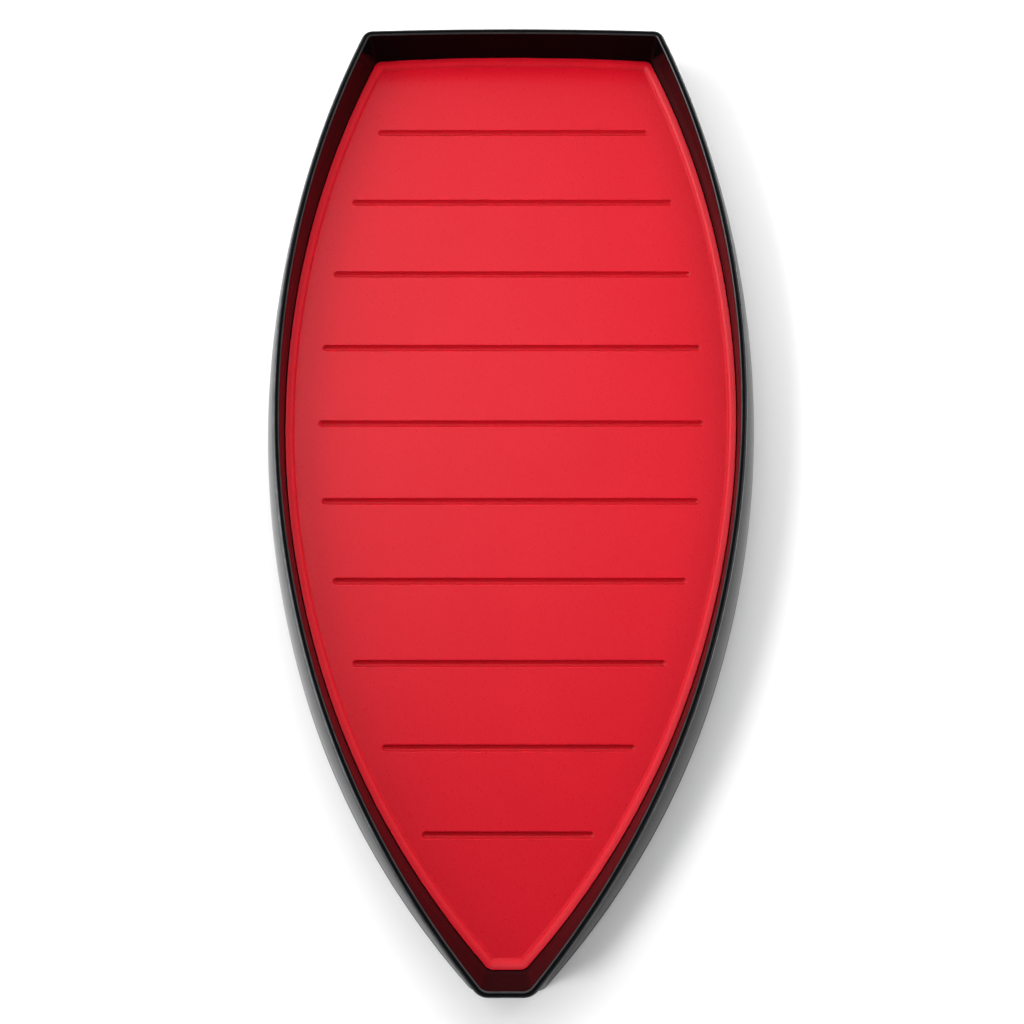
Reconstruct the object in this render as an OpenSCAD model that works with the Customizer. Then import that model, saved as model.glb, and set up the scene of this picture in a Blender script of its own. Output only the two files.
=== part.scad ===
// Boat-shaped serving tray: a dark hull with a hollow skirt, a plank-grooved deck board that
// lifts out of it, and soft pads under the hull. Millimetres, +Z up, +Y towards the stern.
// The origin lies under the middle of the tray, on the surface that the pads stand on.

/* [Rim line] */
// Width over the rim at its widest station
rim_beam = 165.6; // [155:0.2:185]
// Distance from the widest station aft to the stern end of the rim
rim_aft = 143.9; // [130:0.1:165]
// Distance from the widest station forward to the bow end of the rim
rim_fore = 218.6; // [205:0.1:245]
// Distance from the widest station forward to the shoulder, where the sides start to turn in
shoulder_fore = 110; // [100:1:120]
// Width over the rim at the shoulder
rim_shoulder_w = 132.8; // [126:0.2:140]
// Width over the rim where the sides meet the stern
rim_stern_w = 110; // [100:0.2:122]
// Width over the rim where the sides meet the blunt bow
rim_bow_w = 16.4; // [14:0.2:24]
// How far the middle of the stern bows out past its corners, at the rim
rim_stern_crown = 1; // [0.6:0.1:4]
// Radius of the stern corners at the rim
rim_stern_r = 4; // [3:0.1:8]
// Radius of the bow corners at the rim
rim_bow_r = 6; // [4:0.1:9]

/* [Hull wall] */
// Thickness of the hull wall and of its rim
wall_t = 2.2; // [1.6:0.1:2.6]
// Radius of the rounded inner edge of the rim, and of the edge of the skirt's foot
rim_edge_r = 0.6; // [0.3:0.05:0.7]
// Radius of the rounded outer edge of the rim
rim_outer_r = 1; // [0.5:0.05:1.2]
// How far the wall leans in from the rim to the floor at the widest station
lean_side = 0.6; // [0.3:0.05:1.5]
// How far it leans in at the shoulder
lean_shoulder = 3; // [2:0.1:4]
// How far it leans in at the stern end
lean_stern = 0.7; // [0.3:0.1:2]
// How far it leans in at the raked bow end
lean_bow = 12.6; // [10:0.1:15]
// How far it leans in at the stern corners
lean_stern_corner = 1.6; // [0.5:0.1:2.5]
// How far the stern bows out past its corners at the floor
floor_stern_crown = 2; // [1:0.1:4]
// How far the wall leans in at the bow corners
lean_bow_corner = 1.5; // [0.5:0.1:2.5]

/* [Skirt] */
// How far the foot of the skirt stands out past the rim at the widest station
flare_side = 4; // [3:0.1:6]
// How far it stands out at the shoulder
flare_shoulder = 3.2; // [2.5:0.1:5]
// How far it stands out at the stern end
flare_stern = 3.2; // [2:0.1:6]
// How far it stands out at the stern corners
flare_stern_corner = 3.2; // [2:0.1:6]
// How far the rim overhangs the foot of the skirt at the bow
bow_rake = 7.3; // [5.5:0.1:8]
// How far the foot stands out past the rim at the bow corners
flare_bow_corner = 3.1; // [2:0.1:5]
// Radius of the stern corners at the foot of the skirt
foot_stern_r = 6; // [4:0.5:10]
// Radius of the round nose at the foot of the skirt
foot_bow_r = 5; // [3:0.5:26]
// How strongly the skirt curves in towards the rim, where 1 is a straight skirt
skirt_curve = 1.6; // [1.2:0.1:2]
// Thickness of the skirt at its foot
skirt_t = 2; // [1.6:0.1:2.4]

/* [Heights] */
// How far the pads hold the skirt above the table
pad_proud = 1; // [0.6:0.1:2]
// Clear height under the hull floor, above the foot of the skirt
under_h = 3; // [2.5:0.1:5]
// Thickness of the hull floor
floor_t = 2; // [1.6:0.1:3]
// Height of the hollow in the skirt above the hull floor's underside
core_h = 6; // [4:0.1:7]
// Height of the rim above the deck
rim_over_deck = 17; // [14:0.5:24]

/* [Deck board] */
// Thickness of the deck board between its edges
deck_t = 2; // [1.6:0.1:3]
// Gap all round between the deck board and the hull wall
deck_gap = 0.15; // [0.1:0.05:0.4]
// Height of the raised lip above the deck
lip_h = 1.8; // [1.4:0.1:2.1]
// Width of the lip's top, which slopes towards the deck
lip_top_w = 1.1; // [0.6:0.1:1.6]
// Slope of the lip's top, in degrees
lip_slope = 10; // [4:1:16]
// Radius of the outer edges of the board
board_edge_r = 0.15; // [0.1:0.05:0.9]
// Radius of the lip's inner edge, where its top rounds over to the deck
lip_round_r = 2; // [1.7:0.1:3]
// Radius of the cove between the lip and the deck
cove_r = 0.3; // [0.2:0.1:1]

/* [Plank grooves] */
// Distance from the stern end of the board to the first groove
groove_first = 31.8; // [20:0.1:45]
// Distance between grooves, the width of one plank
groove_pitch = 30; // [24:0.5:40]
// Plain deck kept free of grooves at the bow
groove_bow_margin = 40; // [35:1:60]
// Distance from the edge of the board to the ends of the grooves
groove_inset = 11.4; // [8:0.2:16]
// Length left to a groove where the plain deck at the bow begins
groove_least = 54; // [30:1:70]
// Width of a groove at the deck's surface
groove_w = 2.4; // [1.2:0.1:3]
// Depth of a groove
groove_d = 1; // [0.4:0.05:1.1]

/* [Pads] */
// Diameter of a pad
pad_d = 12; // [8:0.5:16]
// Depth of the pocket that holds a pad
pad_seat = 1.5; // [1:0.1:2]
// Chamfer round the underside of a pad
pad_chamfer = 0.5; // [0.2:0.1:0.6]
// Gap round a pad in its pocket
pad_gap = 0.1; // [0.05:0.05:0.3]
// Thickness of the ring of hull round a pocket
boss_t = 1.9; // [1.5:0.1:3]
// Distance from the edge of the floor to the middle of a side pad
pad_inset = 16; // [12:0.5:24]
// Distance from the stern end of the floor to the stern pads
pad_stern = 30; // [22:1:50]
// Distance from the widest station forward to the middle pads
pad_mid = 62; // [30:1:90]
// Distance from the bow end of the floor to the bow pad
pad_bow = 36; // [26:1:60]

/* [Hidden] */
hull_colour = "#1d1e20";
deck_colour = "#d8222f";
pad_colour = "#2c2c2e";
$fn = 64;

// Smallest radius that a corner keeps when a line is drawn inside another
least_r = 0.6;
// Most of the bow's half width that a corner's rounding may take up
corner_fill = 0.96;
// How far a pad's boss reaches into the hull floor that it grows from
boss_root = floor_t / 2;

// Segments along each stretch of half an outline, from the stern to the bow
seg_stern = 6;
seg_corner = 5;
seg_aft = 10;
seg_fore = 9;
// Steps in a rounded edge, up the skirt, and down the cove
edge_steps = 3;
skirt_steps = 7;
cove_steps = 5;

// Heights above the table
foot_z = pad_proud;
floor_under_z = foot_z + under_h;
floor_z = floor_under_z + floor_t;
deck_z = floor_z + deck_t;
lip_z = deck_z + lip_h;
rim_z = deck_z + rim_over_deck;
core_z = floor_under_z + core_h;

// A line is one level outline of the boat, measured from the widest station:
// [half beam, aft, fore, half shoulder, half stern, half bow, stern crown, stern r, bow r]
function half_beam(l) = l[0];
function aft_end(l) = l[1];
function fore_end(l) = l[2];
function half_shoulder(l) = l[3];
function half_stern(l) = l[4];
function half_bow(l) = l[5];
function stern_crown(l) = l[6];
function stern_corner_r(l) = l[7];
function bow_corner_r(l) = l[8];
rim_line = [rim_beam / 2, rim_aft, rim_fore, rim_shoulder_w / 2, rim_stern_w / 2, rim_bow_w / 2,
            rim_stern_crown, rim_stern_r, rim_bow_r];
// Share of an inset by which the bow corner of a line moves in, for sides that meet it at 40 degrees
corner_share = tan(25);
// Share of the wall's thickness by which the stern corners get sharper from the rim to the floor
sharpen_share = 1 / 3;
// Where the wall meets the floor: inside the rim by the wall and by its lean
floor_line = [half_beam(rim_line) - wall_t - lean_side,
              aft_end(rim_line) - wall_t - lean_stern,
              fore_end(rim_line) - wall_t - lean_bow,
              half_shoulder(rim_line) - wall_t - lean_shoulder,
              half_stern(rim_line) - wall_t - lean_stern_corner,
              half_bow(rim_line) - wall_t * corner_share - lean_bow_corner,
              floor_stern_crown,
              max(rim_stern_r - wall_t * sharpen_share, least_r),
              max(rim_bow_r - wall_t, least_r)];
foot_line = [half_beam(rim_line) + flare_side,
             aft_end(rim_line) + flare_stern,
             fore_end(rim_line) - bow_rake,
             half_shoulder(rim_line) + flare_shoulder,
             half_stern(rim_line) + flare_stern_corner,
             half_bow(rim_line) + flare_bow_corner,
             rim_stern_crown,
             foot_stern_r,
             foot_bow_r];

// Place of the widest station, with the origin under the middle of the tray
longest_fore = max(fore_end(rim_line), fore_end(foot_line));
longest_aft = max(aft_end(rim_line), aft_end(foot_line));
widest_y = (longest_fore - longest_aft) / 2;

// Arcs of a line, each with its centre and radius
function arc_r(drop, run) = (drop * drop + run * run) / (2 * drop);
function polar(c, r, a) = [c[0] + r * cos(a), c[1] + r * sin(a)];
function angle_from(c, p) = atan2(p[1] - c[1], p[0] - c[0]);
function aft_r(l) = arc_r(half_beam(l) - half_stern(l), aft_end(l) - stern_crown(l));
function aft_c(l) = [half_beam(l) - aft_r(l), 0];
function fore_r(l) = arc_r(half_beam(l) - half_shoulder(l), shoulder_fore);
function fore_c(l) = [half_beam(l) - fore_r(l), 0];
function shoulder_a(l) = -asin(shoulder_fore / fore_r(l));
function stern_r(l) = arc_r(stern_crown(l), half_stern(l));
function stern_c(l) = [0, aft_end(l) - stern_r(l)];
// The bow arc leaves the fore arc at the shoulder and passes through the bow corner
function to_bow(l) = [half_bow(l) - half_shoulder(l), shoulder_fore - fore_end(l)];
function bow_r(l) = -(to_bow(l) * to_bow(l)) / (2 * (to_bow(l) * polar([0, 0], 1, shoulder_a(l))));
function bow_c(l) = polar(fore_c(l), fore_r(l) - bow_r(l), shoulder_a(l));

// Centre of a stern corner of radius r inside the line's aft and stern arcs, both drawn in by an inset
function corner_c(l, inset, r) =
    let (a = aft_c(l), b = stern_c(l), ra = aft_r(l) - inset - r, rb = stern_r(l) - inset - r,
         d = norm(b - a), u = (b - a) / d, along = (ra * ra - rb * rb + d * d) / (2 * d),
         to_right = u[1] < 0 ? [-u[1], u[0]] : [u[1], -u[0]])
    a + along * u + sqrt(ra * ra - along * along) * to_right;
// Radius of a bow corner, limited so that both corners fit in the bow's width
function corner_turn(l) = 90 + angle_from(bow_c(l), [half_bow(l), -fore_end(l)]);
function nose_r(l) = min(bow_corner_r(l), half_bow(l) * corner_fill / tan(corner_turn(l) / 2));
function nose_c(l, inset, r) =
    let (y = inset + r - fore_end(l), reach = bow_r(l) - inset - r, c = bow_c(l))
    [c[0] + sqrt(reach * reach - (y - c[1]) * (y - c[1])), y];

// Points of an arc, without its last one
function arc(c, r, a0, a1, n) = [for (i = [0 : n - 1]) polar(c, r, a0 + (a1 - a0) * i / n)];

// Right half of a line drawn in by an inset, from the middle of the stern to the middle of the bow
function half_outline(l, inset) =
    let (rs = max(stern_corner_r(l) - inset, least_r), rb = max(nose_r(l) - inset, least_r),
         cs = corner_c(l, inset, rs), cb = nose_c(l, inset, rb),
         a_stern = angle_from(stern_c(l), cs), a_aft = angle_from(aft_c(l), cs),
         a_bow = angle_from(bow_c(l), cb))
    concat(arc(stern_c(l), stern_r(l) - inset, 90, a_stern, seg_stern),
           arc(cs, rs, a_stern, a_aft, seg_corner),
           arc(aft_c(l), aft_r(l) - inset, a_aft, 0, seg_aft),
           arc(fore_c(l), fore_r(l) - inset, 0, shoulder_a(l), seg_fore),
           arc(bow_c(l), bow_r(l) - inset, shoulder_a(l), a_bow, seg_fore),
           arc(cb, rb, a_bow, -90, seg_corner),
           [[cb[0], inset - fore_end(l)], [0, inset - fore_end(l)]]);
function outline(l, inset) =
    let (right = half_outline(l, inset), last = len(right) - 1)
    concat(right, [for (i = [last - 1 : -1 : 1]) [-right[i][0], right[i][1]]]);

// Half width of a line drawn in by an inset, at a distance y aft of the widest station
function arc_x(c, r, y) = c[0] + sqrt(r * r - (y - c[1]) * (y - c[1]));
function half_width(l, inset, y) =
    y >= 0 ? arc_x(aft_c(l), aft_r(l) - inset, y)
    : y >= -shoulder_fore ? arc_x(fore_c(l), fore_r(l) - inset, y)
    : arc_x(bow_c(l), bow_r(l) - inset, y);

// A ring is an outline at a height, in the tray's frame
function ring(points, z) = [for (p = points) [p[0], p[1] + widest_y, z]];
function blend(a, b, t) = a + (b - a) * t;
// Outside of the hull at a height, drawn in by an inset
function skirt_ring(z, inset = 0) =
    let (t = pow((z - foot_z) / (rim_z - foot_z), skirt_curve))
    ring(blend(outline(foot_line, inset), outline(rim_line, inset), t), z);
// Inside of the hull wall at a height, drawn out into the wall by a depth
function wall_ring(z, depth = 0) =
    let (t = (z - floor_z) / (rim_z - floor_z))
    ring(blend(outline(floor_line, -depth), outline(rim_line, wall_t - depth), t), z);

// Skin over a stack of rings, closed by its first and last ring
module loft(rings) {
    n = len(rings[0]);
    m = len(rings);
    walls = [for (j = [0 : m - 2], i = [0 : n - 1])
             let (k = (i + 1) % n)
             each [[j * n + i, j * n + k, (j + 1) * n + k], [j * n + i, (j + 1) * n + k, (j + 1) * n + i]]];
    first_cap = [for (i = [n - 1 : -1 : 0]) i];
    last_cap = [for (i = [0 : n - 1]) (m - 1) * n + i];
    polyhedron(points = [for (r = rings) each r], faces = concat(walls, [first_cap, last_cap]));
}

// Angles of the steps in a quarter-round edge
edge_angles = [for (i = [0 : edge_steps]) 90 * i / edge_steps];

// Section of the hull, from its floor's underside out round the hollow skirt and the rim to the floor
hull_rings = concat(
    [wall_ring(floor_under_z, wall_t), wall_ring(core_z, wall_t)],
    [for (i = [skirt_steps - 3 : -1 : 0])
        skirt_ring(foot_z + (core_z - foot_z) * i / (skirt_steps - 3), skirt_t)],
    [for (a = edge_angles)
        skirt_ring(foot_z + rim_edge_r * (1 - cos(a)), rim_edge_r * (1 - sin(a)))],
    [for (i = [1 : skirt_steps - 1])
        skirt_ring(foot_z + rim_edge_r + (rim_z - foot_z - rim_edge_r - rim_outer_r) * i / skirt_steps)],
    [for (a = edge_angles)
        skirt_ring(rim_z - rim_outer_r * (1 - sin(a)), rim_outer_r * (1 - cos(a)))],
    [for (a = edge_angles)
        wall_ring(rim_z - rim_edge_r * (1 - cos(a)), rim_edge_r * (1 - sin(a)))],
    [wall_ring(floor_z)]);

// Height at the inner end of the lip's sloping top, and its distance in from the edge of the board
lip_end_z = lip_z - lip_top_w * tan(lip_slope);
lip_in = board_edge_r + lip_top_w;
// Slope at which the lip's inner edge passes into the cove, and where the deck then begins
cove_a = acos((lip_round_r * cos(lip_slope) + cove_r - lip_end_z + deck_z) / (lip_round_r + cove_r));
deck_in = lip_in + (lip_round_r + cove_r) * sin(cove_a) - lip_round_r * sin(lip_slope);

// Section of the board, from its underside out round its edge and over the lip to the deck
board_rings = concat(
    [for (a = edge_angles)
        wall_ring(floor_z + board_edge_r * (1 - cos(a)), -deck_gap - board_edge_r * (1 - sin(a)))],
    [for (a = edge_angles)
        wall_ring(lip_z - board_edge_r * (1 - sin(a)), -deck_gap - board_edge_r * (1 - cos(a)))],
    [for (i = [0 : cove_steps])
        let (a = lip_slope + (cove_a - lip_slope) * i / cove_steps)
        wall_ring(lip_end_z - lip_round_r * (cos(lip_slope) - cos(a)),
                  -deck_gap - lip_in - lip_round_r * (sin(a) - sin(lip_slope)))],
    [for (i = [cove_steps - 1 : -1 : 0])
        let (a = cove_a * i / cove_steps)
        wall_ring(deck_z + cove_r * (1 - cos(a)), -deck_gap - deck_in + cove_r * sin(a))]);

// Grooves: as many planks as the board's length takes
board_stern_y = aft_end(floor_line) - deck_gap;
board_length = aft_end(floor_line) + fore_end(floor_line) - 2 * deck_gap;
groove_count = floor((board_length - groove_first - groove_bow_margin) / groove_pitch) + 1;
groove_r = (groove_w * groove_w / 4 + groove_d * groove_d) / (2 * groove_d);

// The ends of the grooves follow the side aft of the widest station, and one arc forward of it
groove_half = half_beam(floor_line) - deck_gap - groove_inset;
groove_arc_r = arc_r(groove_half - groove_least / 2, fore_end(floor_line) - deck_gap - groove_bow_margin);
function groove_end(y) =
    y >= 0 ? half_width(floor_line, deck_gap + groove_inset, y)
    : arc_x([groove_half - groove_arc_r, 0], groove_arc_r, y);

module groove(y) {
    reach = groove_end(y) - groove_w / 2;
    translate([0, y + widest_y, deck_z - groove_d + groove_r]) {
        rotate([0, 90, 0])
            cylinder(r = groove_r, h = 2 * reach, center = true);
        for (side = [-1, 1])
            translate([side * reach, 0, 0])
                sphere(r = groove_r);
    }
}

// Places of the pads, measured from the widest station
pad_stern_y = aft_end(floor_line) - pad_stern;
pad_bow_y = pad_bow - fore_end(floor_line);
pad_stern_x = half_width(floor_line, pad_inset, pad_stern_y);
pad_middle_x = half_width(floor_line, pad_inset, -pad_mid);
pad_stern_left_at = [-pad_stern_x, pad_stern_y];
pad_stern_right_at = [pad_stern_x, pad_stern_y];
pad_middle_left_at = [-pad_middle_x, -pad_mid];
pad_middle_right_at = [pad_middle_x, -pad_mid];
pad_bow_end_at = [0, pad_bow_y];
pad_places = [pad_stern_left_at, pad_stern_right_at, pad_middle_left_at, pad_middle_right_at,
              pad_bow_end_at];

module at_place(p, z) {
    translate([p[0], p[1] + widest_y, z])
        children();
}

// One pad, chamfered where it meets the table
module pad(p) {
    pad_h = pad_proud + pad_seat;
    color(pad_colour)
        at_place(p, 0)
            rotate_extrude()
                polygon([[0, 0], [pad_d / 2 - pad_chamfer, 0], [pad_d / 2, pad_chamfer],
                         [pad_d / 2, pad_h], [0, pad_h]]);
}

// Dark shell: floor, wall, rim and hollow skirt, with a pocketed boss for each pad
module hull_shell() {
    boss_r = pad_d / 2 + pad_gap + boss_t;
    color(hull_colour)
        difference() {
            union() {
                loft(hull_rings);
                for (p = pad_places)
                    at_place(p, foot_z)
                        cylinder(r = boss_r, h = under_h + boss_root);
            }
            for (p = pad_places)
                at_place(p, foot_z - pad_seat)
                    cylinder(r = pad_d / 2 + pad_gap, h = 2 * pad_seat);
        }
}

// Red board: a flat deck with a raised lip and plank grooves
module deck_board() {
    color(deck_colour)
        difference() {
            loft(board_rings);
            for (i = [0 : groove_count - 1])
                groove(board_stern_y - groove_first - i * groove_pitch);
        }
}

module pad_stern_left() { pad(pad_stern_left_at); }
module pad_stern_right() { pad(pad_stern_right_at); }
module pad_middle_left() { pad(pad_middle_left_at); }
module pad_middle_right() { pad(pad_middle_right_at); }
module pad_bow_end() { pad(pad_bow_end_at); }

hull_shell();
deck_board();
pad_stern_left();
pad_stern_right();
pad_middle_left();
pad_middle_right();
pad_bow_end();
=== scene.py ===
"""Looks of the boat-shaped serving tray: a black moulded hull, a red deck board and its rubber pads.

Lengths are in metres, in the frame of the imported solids: +Y runs from the bow to the stern, +Z is up.
The hull and the board are lofts over level outlines of the boat, which the sizes below draw as arcs.
"""

import math
from collections import namedtuple

import bmesh
import bpy
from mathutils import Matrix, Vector


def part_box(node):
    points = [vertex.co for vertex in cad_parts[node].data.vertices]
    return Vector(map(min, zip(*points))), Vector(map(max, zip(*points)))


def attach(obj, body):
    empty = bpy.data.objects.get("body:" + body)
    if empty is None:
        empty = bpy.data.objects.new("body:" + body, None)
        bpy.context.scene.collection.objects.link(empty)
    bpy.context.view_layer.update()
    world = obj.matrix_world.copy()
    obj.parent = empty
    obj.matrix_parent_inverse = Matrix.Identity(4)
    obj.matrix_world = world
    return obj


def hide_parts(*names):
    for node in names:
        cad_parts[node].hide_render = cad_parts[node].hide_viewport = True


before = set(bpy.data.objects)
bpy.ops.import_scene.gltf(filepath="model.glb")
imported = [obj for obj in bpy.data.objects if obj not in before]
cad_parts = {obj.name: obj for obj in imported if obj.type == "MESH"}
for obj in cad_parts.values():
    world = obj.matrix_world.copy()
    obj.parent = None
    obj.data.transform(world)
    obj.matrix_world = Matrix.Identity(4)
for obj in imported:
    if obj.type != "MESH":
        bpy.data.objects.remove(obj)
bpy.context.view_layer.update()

MM = 0.001

# Heights and places that the solids give
hull_low, hull_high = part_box("hull_shell")
deck_low, deck_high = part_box("deck_board")
FOOT_Z = hull_low.z
RIM_Z = hull_high.z
FLOOR_Z = deck_low.z
LIP_Z = deck_high.z
PADS = ["pad_stern_left", "pad_stern_right", "pad_middle_left", "pad_middle_right", "pad_bow_end"]
pad_low, pad_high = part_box(PADS[0])
PAD_R = (pad_high.x - pad_low.x) / 2
PAD_TOP = pad_high.z

# Rim line, measured from the widest station
RIM_BEAM = 165.6 * MM
RIM_AFT = 143.9 * MM
RIM_FORE = 218.6 * MM
SHOULDER_FORE = 110 * MM
RIM_SHOULDER_W = 132.8 * MM
RIM_STERN_W = 110 * MM
RIM_BOW_W = 16.4 * MM
RIM_STERN_CROWN = 1 * MM
RIM_STERN_R = 4 * MM
RIM_BOW_R = 6 * MM

# Hull wall, and how far it leans in from the rim to the floor
WALL_T = 2.2 * MM
EDGE_R = 0.6 * MM
RIM_OUTER_R = 1 * MM
LEAN_SIDE = 0.6 * MM
LEAN_SHOULDER = 3 * MM
LEAN_STERN = 0.7 * MM
LEAN_BOW = 12.6 * MM
LEAN_STERN_CORNER = 1.6 * MM
LEAN_BOW_CORNER = 1.5 * MM
FLOOR_STERN_CROWN = 2 * MM
# Shares of the wall's thickness by which the bow narrows and the stern corners get sharper
BOW_SHARE = math.tan(math.radians(25))
SHARPEN_SHARE = 1 / 3

# Skirt, and how far its foot stands out past the rim
FLARE_SIDE = 4 * MM
FLARE_SHOULDER = 3.2 * MM
FLARE_STERN = 3.2 * MM
FLARE_STERN_CORNER = 3.2 * MM
FLARE_BOW_CORNER = 3.1 * MM
BOW_RAKE = 7.3 * MM
FOOT_STERN_R = 6 * MM
FOOT_BOW_R = 5 * MM
SKIRT_CURVE = 1.6
SKIRT_T = 2 * MM
UNDER_H = 3 * MM
CORE_H = 6 * MM

# Deck board
DECK_T = 2 * MM
DECK_GAP = 0.15 * MM
LIP_TOP_W = 1.1 * MM
LIP_SLOPE = math.radians(10)
BOARD_EDGE_R = 0.15 * MM
LIP_ROUND_R = 2 * MM
COVE_R = 0.3 * MM
COLLAR = 0.4 * MM

# Plank grooves
GROOVES = 10
GROOVE_FIRST = 31.8 * MM
GROOVE_PITCH = 30 * MM
GROOVE_INSET = 11.4 * MM
GROOVE_BOW_MARGIN = 40 * MM
GROOVE_LEAST = 54 * MM
GROOVE_W = 2.4 * MM
GROOVE_D = 1 * MM
GROOVE_EDGE_R = 0.2 * MM

# Pads and the bosses that hold them
PAD_EDGE_R = 0.5 * MM
PAD_GAP = 0.1 * MM
BOSS_T = 1.9 * MM
BOSS_EDGE_R = 0.3 * MM
BOSS_ROOT = 1 * MM

# Fineness of the meshes
STERN_STEPS = 20
CORNER_STEPS = 10
AFT_STEPS = 48
FORE_STEPS = 40
FLAT_STEPS = 4
SKIRT_STEPS = 24
WALL_STEPS = 14
EDGE_STEPS = 6
COVE_STEPS = 10
DISH_STEPS = 16
TURN_STEPS = 64
LEAST_R = 0.6 * MM
WELD = 0.001 * MM
SLIVER = WELD / 10
SHARP_ANGLE = math.radians(40)

DECK_Z = FLOOR_Z + DECK_T
FLOOR_UNDER_Z = FOOT_Z + UNDER_H
CORE_Z = FLOOR_UNDER_Z + CORE_H
WIDEST_Y = (RIM_FORE - RIM_AFT - FLARE_STERN) / 2


# Outlines

def arc_radius(drop, run):
    return (drop * drop + run * run) / (2 * drop)


def on_circle(centre, radius, angle):
    return centre + radius * Vector((math.cos(angle), math.sin(angle)))


def angle_from(centre, point):
    return math.atan2(point.y - centre.y, point.x - centre.x)


def arc_points(centre, radius, start, end, steps):
    """Points along an arc, without its last one."""
    return [on_circle(centre, radius, start + (end - start) * i / steps) for i in range(steps)]


class Outline:
    """One level outline of the boat, seen from its widest station: six arcs a side and a blunt bow."""

    def __init__(self, half_beam, aft, fore, half_shoulder, half_stern, half_bow, crown, stern_r, bow_r):
        self.half_beam = half_beam
        self.aft = aft
        self.fore = fore
        self.corner_r = stern_r
        self.nose_r = bow_r
        self.stern_r = arc_radius(crown, half_stern)
        self.stern_c = Vector((0, aft - self.stern_r))
        self.aft_r = arc_radius(half_beam - half_stern, aft - crown)
        self.aft_c = Vector((half_beam - self.aft_r, 0))
        self.fore_r = arc_radius(half_beam - half_shoulder, SHOULDER_FORE)
        self.fore_c = Vector((half_beam - self.fore_r, 0))
        self.shoulder_a = -math.asin(SHOULDER_FORE / self.fore_r)
        outward = on_circle(Vector((0, 0)), 1, self.shoulder_a)
        to_bow = Vector((half_bow - half_shoulder, SHOULDER_FORE - fore))
        self.bow_r = -to_bow.length_squared / (2 * to_bow.dot(outward))
        self.bow_c = self.fore_c + (self.fore_r - self.bow_r) * outward

    def stern_corner(self, inset, radius):
        """Centre of the rounding between the aft arc and the stern."""
        reach_aft = self.aft_r - inset - radius
        reach_stern = self.stern_r - inset - radius
        between = self.stern_c - self.aft_c
        along = (reach_aft ** 2 - reach_stern ** 2 + between.length_squared) / (2 * between.length)
        unit = between.normalized()
        across = Vector((abs(unit.y), unit.x if unit.y < 0 else -unit.x))
        return self.aft_c + along * unit + math.sqrt(reach_aft ** 2 - along ** 2) * across

    def bow_corner(self, inset, radius):
        """Centre of the rounding between the bow arc and the blunt bow."""
        y = inset + radius - self.fore
        reach = self.bow_r - inset - radius
        return Vector((self.bow_c.x + math.sqrt(reach ** 2 - (y - self.bow_c.y) ** 2), y))

    def half_width(self, inset, y):
        """Half width aft of the widest station."""
        return self.aft_c.x + math.sqrt((self.aft_r - inset) ** 2 - y ** 2)

    def points(self, inset):
        """All round the outline drawn in by an inset, in the tray's frame."""
        corner_r = max(self.corner_r - inset, LEAST_R)
        nose_r = max(self.nose_r - inset, LEAST_R)
        corner = self.stern_corner(inset, corner_r)
        nose = self.bow_corner(inset, nose_r)
        stern_a = angle_from(self.stern_c, corner)
        aft_a = angle_from(self.aft_c, corner)
        bow_a = angle_from(self.bow_c, nose)
        bow_y = inset - self.fore
        right = arc_points(self.stern_c, self.stern_r - inset, math.pi / 2, stern_a, STERN_STEPS)
        right += arc_points(corner, corner_r, stern_a, aft_a, CORNER_STEPS)
        right += arc_points(self.aft_c, self.aft_r - inset, aft_a, 0, AFT_STEPS)
        right += arc_points(self.fore_c, self.fore_r - inset, 0, self.shoulder_a, FORE_STEPS)
        right += arc_points(self.bow_c, self.bow_r - inset, self.shoulder_a, bow_a, FORE_STEPS)
        right += arc_points(nose, nose_r, bow_a, -math.pi / 2, CORNER_STEPS)
        right += [Vector((nose.x * (1 - i / FLAT_STEPS), bow_y)) for i in range(FLAT_STEPS + 1)]
        left = [Vector((-p.x, p.y)) for p in right[-2:0:-1]]
        return [p + Vector((0, WIDEST_Y)) for p in right + left]


rim_outline = Outline(RIM_BEAM / 2, RIM_AFT, RIM_FORE, RIM_SHOULDER_W / 2, RIM_STERN_W / 2,
                      RIM_BOW_W / 2, RIM_STERN_CROWN, RIM_STERN_R, RIM_BOW_R)
foot_outline = Outline(RIM_BEAM / 2 + FLARE_SIDE, RIM_AFT + FLARE_STERN, RIM_FORE - BOW_RAKE,
                       RIM_SHOULDER_W / 2 + FLARE_SHOULDER, RIM_STERN_W / 2 + FLARE_STERN_CORNER,
                       RIM_BOW_W / 2 + FLARE_BOW_CORNER, RIM_STERN_CROWN, FOOT_STERN_R, FOOT_BOW_R)
floor_outline = Outline(RIM_BEAM / 2 - WALL_T - LEAN_SIDE, RIM_AFT - WALL_T - LEAN_STERN,
                        RIM_FORE - WALL_T - LEAN_BOW, RIM_SHOULDER_W / 2 - WALL_T - LEAN_SHOULDER,
                        RIM_STERN_W / 2 - WALL_T - LEAN_STERN_CORNER,
                        RIM_BOW_W / 2 - WALL_T * BOW_SHARE - LEAN_BOW_CORNER, FLOOR_STERN_CROWN,
                        RIM_STERN_R - WALL_T * SHARPEN_SHARE, RIM_BOW_R - WALL_T)


# Sections: a ring lies between two level lines, drawn in by an inset, at a height

Ring = namedtuple("Ring", "from_line to_line share inset height edge polish gleam to_keel")
# Values of a ring that its material reads
FINISHES = ("edge", "polish", "gleam")
LOWER, UPPER, FLOOR, RIM_INSIDE = range(4)
# Share of the skirt's height above the foot whose sheen is lessened, a painted shade along the foot, and
# share of its polish that is lost at the rim
SHADED_FOOT_SHARE = 0.2
DULL_TOP = 0.5
RIM_EDGE_POLISH = 0.7
WALL_GLEAM = 0.5
RIM_EDGE_GLEAM = 0.5
quarter = [math.pi / 2 * i / EDGE_STEPS for i in range(EDGE_STEPS + 1)]


def between(start, end, steps):
    return [start + (end - start) * i / steps for i in range(steps + 1)]


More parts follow.
